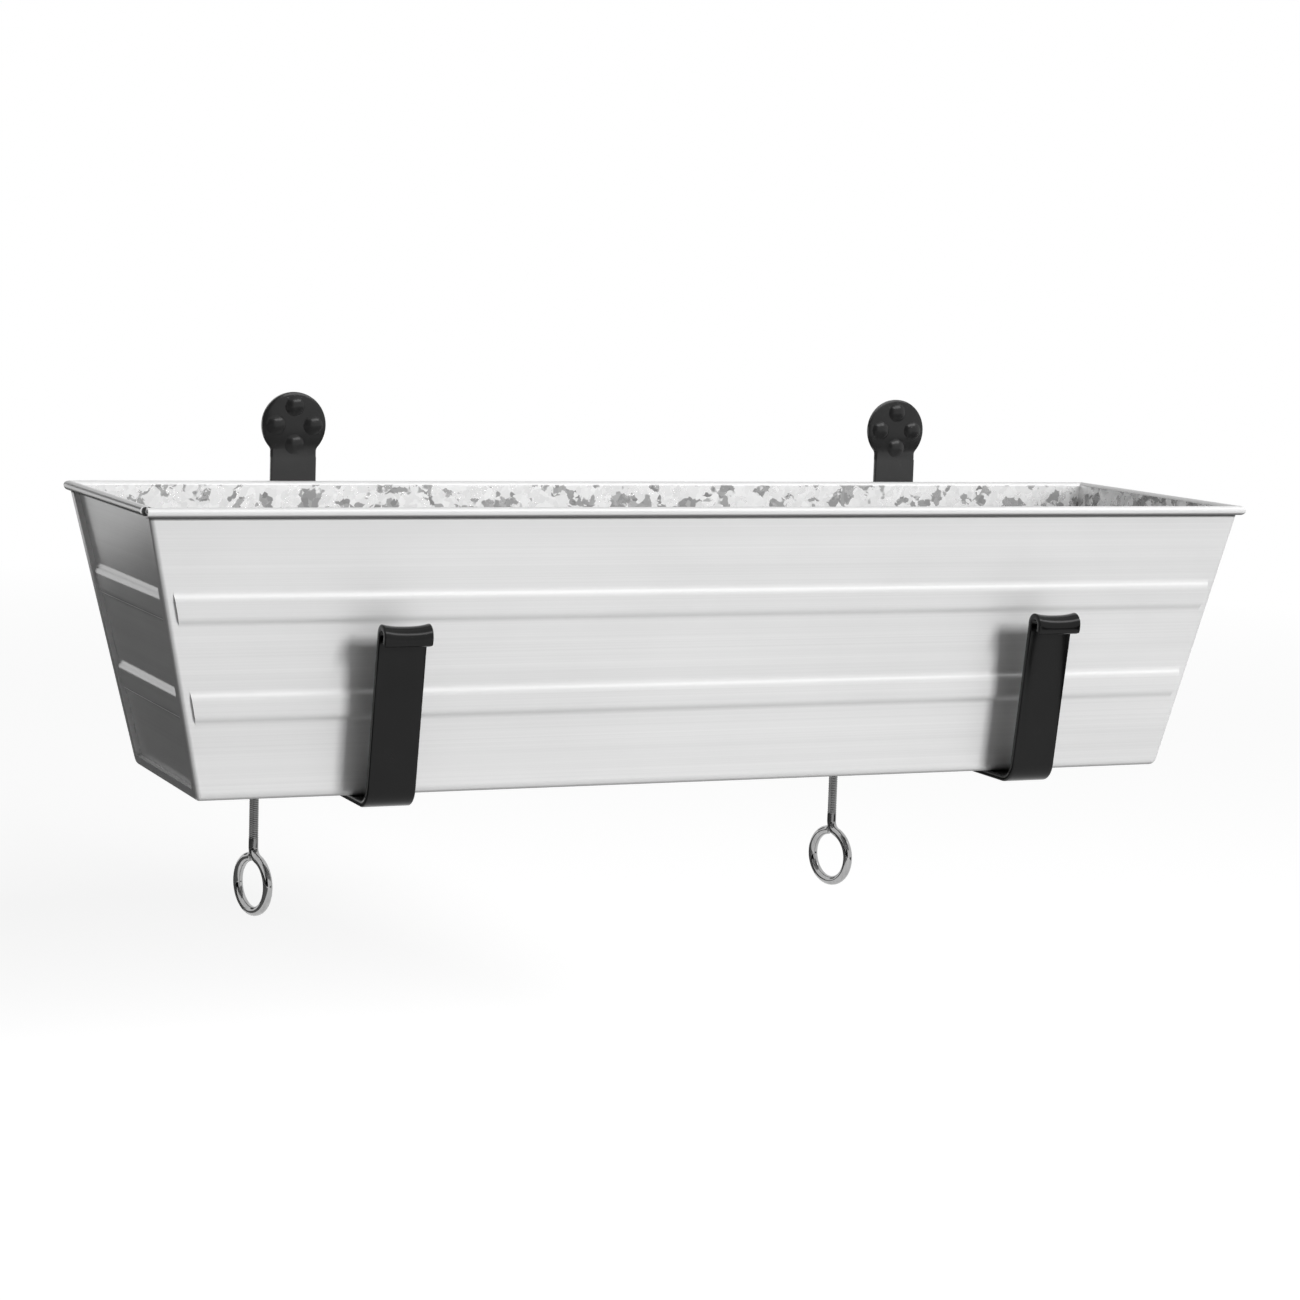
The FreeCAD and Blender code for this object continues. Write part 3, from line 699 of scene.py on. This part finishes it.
def studio_floor():
    mesh = bpy.data.meshes.new("studio_floor")
    signs = ((-1, -1), (1, -1), (1, 1), (-1, 1))
    corners = [(x * FLOOR_HALF, y * FLOOR_HALF, STAGE_Z) for x, y in signs]
    mesh.from_pydata(corners, [], [(0, 1, 2, 3)])
    floor = bpy.data.objects.new("studio_floor", mesh)
    bpy.context.scene.collection.objects.link(floor)
    s = Shader("floor_white")
    share = background_share(s.tree)
    shade = s.node("ShaderNodeBsdfDiffuse", Color=(0.35, 0.35, 0.35, 1.0))
    lift = s.node("ShaderNodeEmission", Color=(1, 1, 1, 1), Strength=s.math("MULTIPLY", share, 0.82))
    both = s.tree.nodes.new("ShaderNodeAddShader")
    s.tree.links.new(shade.outputs[0], both.inputs[0])
    s.tree.links.new(lift.outputs[0], both.inputs[1])
    white = s.node("ShaderNodeEmission", Color=(1, 1, 1, 1), Strength=1.0)
    length = s.tree.nodes.new("ShaderNodeVectorMath")
    length.operation = "LENGTH"
    s.put(length.inputs[0], s.coords.outputs["Object"])
    far = s.math("MULTIPLY", s.span(length.outputs["Value"], NEAR, FAR), share)
    blend = s.tree.nodes.new("ShaderNodeMixShader")
    s.put(blend.inputs[0], far)
    s.tree.links.new(both.outputs[0], blend.inputs[1])
    s.tree.links.new(white.outputs[0], blend.inputs[2])
    s.tree.links.new(blend.outputs[0], s.output.inputs["Surface"])
    floor.data.materials.append(s.material)


def studio_world():
    """Even white for the camera and gloss, and a weak level of light from all round."""
    world = bpy.data.worlds.new("studio_world")
    bpy.context.scene.world = world
    world.use_nodes = True
    tree = world.node_tree
    background = tree.nodes["Background"]
    background.inputs["Color"].default_value = (1, 1, 1, 1)
    strength = tree.nodes.new("ShaderNodeMapRange")
    tree.links.new(background_share(tree), strength.inputs["Value"])
    strength.inputs["To Min"].default_value = AMBIENT
    strength.inputs["To Max"].default_value = 1.0
    tree.links.new(strength.outputs["Result"], background.inputs["Strength"])


def area_light(name, place, target, size, radiance, hidden_from):
    """Softbox of a given brightness, where 1 is white, that gloss or the dull surfaces don't see."""
    data = bpy.data.lights.new(name, "AREA")
    data.shape = "RECTANGLE"
    data.size, data.size_y = size
    data.energy = radiance * math.pi * size[0] * size[1]
    lamp = bpy.data.objects.new(name, data)
    bpy.context.scene.collection.objects.link(lamp)
    lamp.location = place
    setattr(lamp, "visible_" + hidden_from, False)
    lamp.rotation_mode = "QUATERNION"
    lamp.rotation_quaternion = (Vector(target) - Vector(place)).to_track_quat("-Z", "Y")


def dark_flag(name, corners, tone):
    """Dark studio card that only gloss sees, so it shapes the metal's reflections."""
    mesh = bpy.data.meshes.new(name)
    mesh.from_pydata(corners, [], [(0, 1, 2, 3)])
    card = bpy.data.objects.new(name, mesh)
    bpy.context.scene.collection.objects.link(card)
    s = Shader(name + "_cloth")
    s.finish((tone, tone, tone, 1.0), 1.0, Specular_IOR_Level=0.0)
    card.data.materials.append(s.material)
    card.visible_camera = False
    card.visible_diffuse = False
    card.visible_shadow = False


def floor_card(name, x0, x1, y0, y1, tone):
    z = STAGE_Z + 2 * MM
    dark_flag(name, [(x0, y0, z), (x1, y0, z), (x1, y1, z), (x0, y1, z)], tone)


def standing_card(name, one, other, top, low=STAGE_Z):
    dark_flag(name, [(*one, low), (*other, low), (*other, top), (*one, top)], CARD_TONE)


studio_floor()
studio_world()
area_light("key", (1.60, -5.52, 2.0), BOX_CENTRE, (1.4, 1.4), 65.0, "glossy")
area_light("top", (-0.33, 0.29, 1.9), BOX_CENTRE, (1.2, 1.2), 2.2, "glossy")
right_of_middle = BOX_CENTRE + Vector((0.25, -0.1, 0.0))
area_light("strip", (0.57, -1.0, 0.96), right_of_middle, (1.6, 0.35), 4.6, "diffuse")
floor_card("left_floor_card", -2.0, -0.42, -1.3, 2.12, 0.27)
floor_card("back_floor_card", -0.42, 0.10, 0.4, 2.12, 0.20)
standing_card("back_card", (-1.75, 2.2), (-0.72, 2.2), 0.95, 0.18)
standing_card("front_left_card", (-2.2, -1.5), (-0.6, -2.9), 2.0)
standing_card("left_card", (-2.2, -1.5), (-2.2, 1.4), 0.10)
floor_card("right_floor_card", 0.90, 2.6, -2.6, -0.3, CARD_TONE)


# ---------------------------------------------------------------- camera

YAW = math.radians(23.60)
PITCH = math.radians(7.03)
ROLL = math.radians(-1.86)
FOCAL_PIXELS = 3212.5
PICTURE_PIXELS = 1300.0
DISTANCE = 2.0664
AIM = Vector((-0.01036, -0.1155, -0.07527))


def photo_camera():
    forward = Vector((math.sin(YAW) * math.cos(PITCH), math.cos(YAW) * math.cos(PITCH), -math.sin(PITCH)))
    level = Vector((math.cos(YAW), -math.sin(YAW), 0.0))
    down = forward.cross(level)
    right = level * math.cos(ROLL) + down * math.sin(ROLL)
    up = level * math.sin(ROLL) - down * math.cos(ROLL)
    data = bpy.data.cameras.new("photo_camera")
    data.sensor_width = 36.0
    data.lens = data.sensor_width * FOCAL_PIXELS / PICTURE_PIXELS
    data.clip_end = 100.0
    camera = bpy.data.objects.new("photo_camera", data)
    bpy.context.scene.collection.objects.link(camera)
    place = AIM - forward * DISTANCE
    turn = Matrix((right, up, -forward)).transposed().to_4x4()
    camera.matrix_world = Matrix.Translation(place) @ turn
    bpy.context.scene.camera = camera


photo_camera()
bpy.context.scene.view_settings.view_transform = "Standard"
